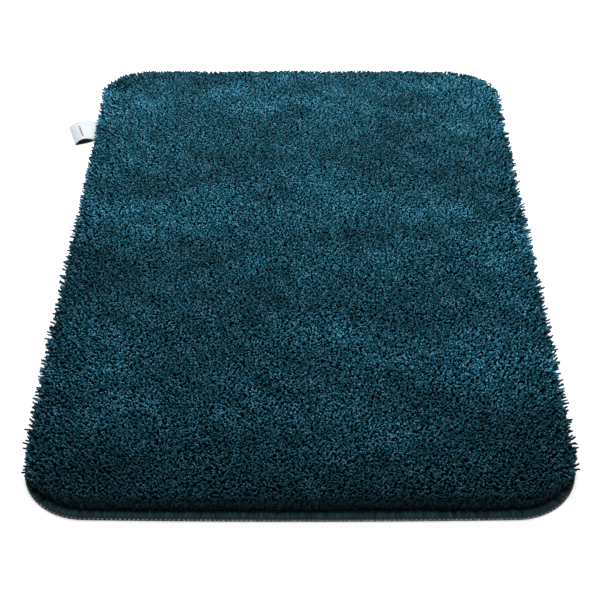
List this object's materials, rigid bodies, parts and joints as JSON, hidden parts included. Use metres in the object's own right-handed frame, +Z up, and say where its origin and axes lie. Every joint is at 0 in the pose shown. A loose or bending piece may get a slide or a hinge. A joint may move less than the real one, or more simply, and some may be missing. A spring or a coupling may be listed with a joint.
{
  "type": "bath mat",
  "caption": "Rectangular shaggy microfibre bath mat with rounded corners, overlocked edge, anti-slip latex underside and a folded ribbon label.",
  "frame": {"origin": "middle of the anti-slip underside, on the floor", "axes": "+X across the mat's width, +Y along its length towards the rear end, +Z up out of the pile; the label is on the left edge, at -X, near the rear"},
  "size_m": [0.6545, 0.9018, 0.022],
  "materials": {
    "pile": "matte",
    "edge_thread": "matte",
    "under_thread": "matte",
    "woven_cloth": "matte",
    "locking_latex": "matte",
    "latex": "matte",
    "ribbon": "satin",
    "ink": "matte"
  },
  "bodies": {
    "mat": {"latex_backing": "latex", "locking_coat": "locking_latex", "tufting_cloth": "woven_cloth", "microfibre_pile": "pile", "overlock_top_thread": "edge_thread", "overlock_under_thread": "under_thread", "overlock_needle_thread": "edge_thread", "label_sewn_end": "ribbon"},
    "label": {"label_loop": "ribbon", "label_print": "ink"}
  },
  "joints": [
    {"name": "label_flap", "type": "hinge", "parent": "mat", "child": "label", "pos_m": [-0.3028, 0.292, 0.003], "axis": [0, 1, 0], "range_deg": [0, 90]}
  ]
}
